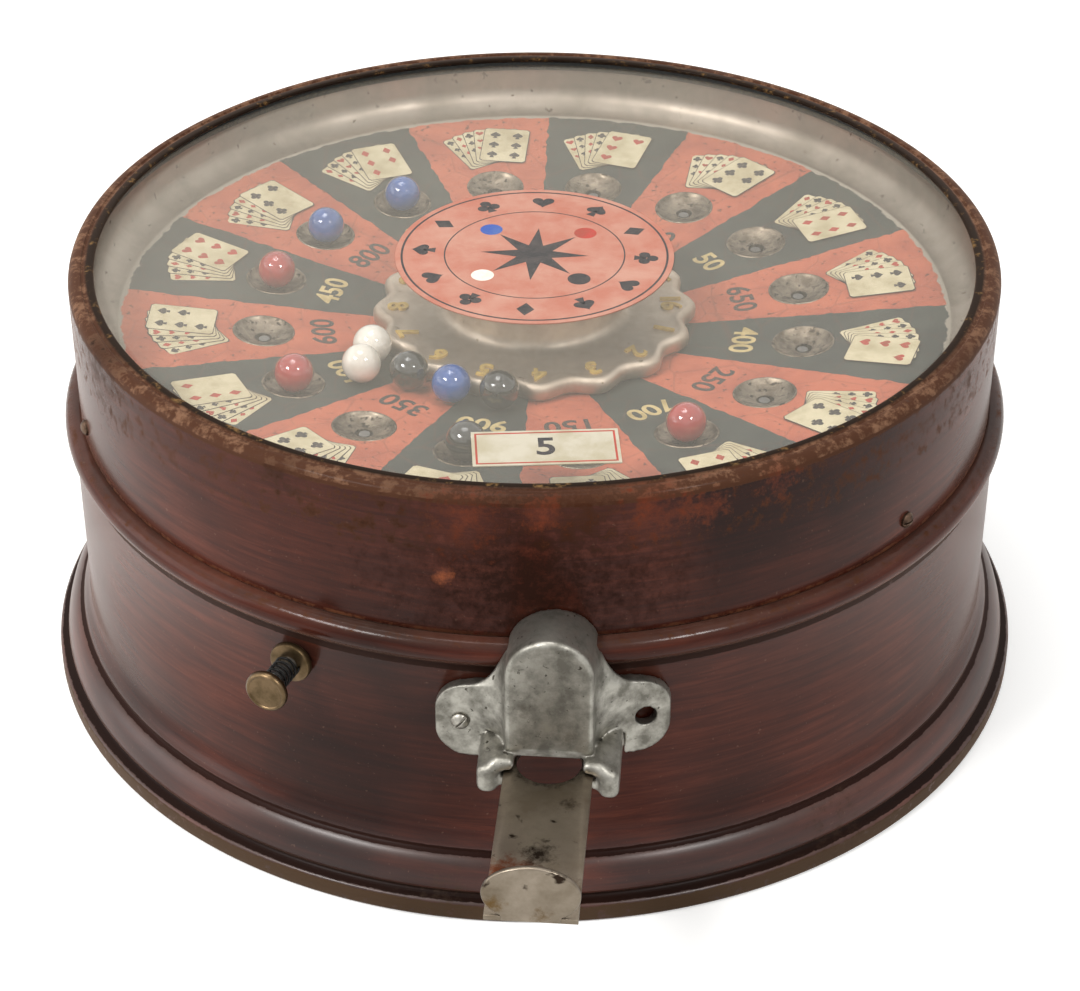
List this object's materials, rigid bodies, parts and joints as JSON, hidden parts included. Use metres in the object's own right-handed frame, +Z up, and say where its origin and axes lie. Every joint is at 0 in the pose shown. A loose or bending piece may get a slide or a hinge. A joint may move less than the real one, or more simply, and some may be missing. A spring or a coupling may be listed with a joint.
{
  "type": "trade stimulator",
  "caption": "Round counter-top trade stimulator: grained steel drum case with glass lid, marble pockets round a scalloped spinner, coin slide and spinner plunger.",
  "frame": {"origin": "centre of the underside, on the surface that the machine stands on", "axes": "+Z up along the spinner's axis; the coin slide points to -Y, the front; +X to the right seen from the front"},
  "size_m": [0.376, 0.4519, 0.1647],
  "materials": {
    "case_paint": "satin enamel with a brushed wood grain",
    "bare_steel": "dull",
    "screw_steel": "satin",
    "glass": "clear, dusty",
    "felt": "matt",
    "orange_card": "matt print",
    "cream_card": "matt print",
    "tinned_pan": "tinned, tarnished",
    "printed_paper": "matt print",
    "tarnished_cup": "tarnished",
    "cast_aluminium": "dull casting",
    "nickel_slide": "worn plate",
    "aged_brass": "aged",
    "spring_steel": "blackened",
    "red_marble": "opaque, glossy",
    "blue_marble": "opaque, glossy",
    "black_marble": "opaque, glossy",
    "white_marble": "opaque, glossy"
  },
  "bodies": {
    "case": {"case_body": "case_paint", "bottom_plate": "bare_steel", "bottom_screws": "screw_steel", "top_ring": "case_paint", "ring_screws": "screw_steel", "glass_top": "glass", "glass_gasket": "felt", "medallion": "orange_card", "price_card_sheet": "cream_card", "playfield_pan": "tinned_pan", "playfield_print": "printed_paper", "pocket_cups": "tarnished_cup", "cross_member": "bare_steel", "center_post": "screw_steel", "post_nut": "screw_steel", "rotor_nut": "screw_steel", "coin_chute": "cast_aluminium", "chute_screw": "screw_steel", "slide_support": "bare_steel", "lift_bar_guide": "aged_brass", "guide_posts": "screw_steel", "plunger_bushing": "aged_brass", "bushing_nut": "aged_brass", "rack_guide": "aged_brass"},
    "lift_bar": {"lift_bar": "bare_steel", "lift_ramps": "aged_brass"},
    "coin_slide": {"coin_slide": "nickel_slide"},
    "lifter": {"lifter_ring": "bare_steel", "lifter_legs": "aged_brass", "lifter_bushes": "aged_brass", "lifter_pins": "screw_steel", "red_marbles": "red_marble", "blue_marbles": "blue_marble", "black_marble": "black_marble"},
    "plunger": {"plunger_rod": "screw_steel", "plunger_button": "aged_brass", "plunger_spring": "spring_steel", "drive_rack": "screw_steel", "stop_collar": "aged_brass"},
    "pinion": {"pinion": "aged_brass", "clutch_rollers": "screw_steel"},
    "spinner": {"rotor": "cast_aluminium", "turret_cap": "cast_aluminium", "rotor_sleeve": "bare_steel", "freewheel_cup": "bare_steel", "white_marbles": "white_marble", "center_blue_marble": "blue_marble", "center_black_marbles": "black_marble"}
  },
  "joints": [
    {"name": "slide_push", "type": "slide", "parent": "case", "child": "lift_bar", "axis": [0, 1, 0], "range_m": [0, 0.03]},
    {"name": "slide_pull", "type": "slide", "parent": "lift_bar", "child": "coin_slide", "axis": [0, -1, 0], "range_m": [0, 0.012]},
    {"name": "lifter_rise", "type": "slide", "parent": "case", "child": "lifter", "axis": [0, 0, 1], "range_m": [0, 0.00601]},
    {"name": "plunger_push", "type": "slide", "parent": "case", "child": "plunger", "axis": [0.3173, 0.9483, 0], "range_m": [0, 0.008], "stiffness_N_per_m": 300, "springref_m": -0.008, "deforming": ["plunger_spring"]},
    {"name": "pinion_turn", "type": "hinge", "parent": "case", "child": "pinion", "pos_m": [0, 0, 0.088], "axis": [0, 0, -1], "range_deg": [0, 51]},
    {"name": "spinner_spin", "type": "hinge", "parent": "case", "child": "spinner", "pos_m": [0, 0, 0.13], "axis": [0, 0, -1], "continuous": true}
  ],
  "couplings": [
    {"joint": "lifter_rise", "follows": "slide_push", "ratio": 0.2},
    {"joint": "pinion_turn", "follows": "plunger_push", "rad_per_m": 111.11}
  ]
}
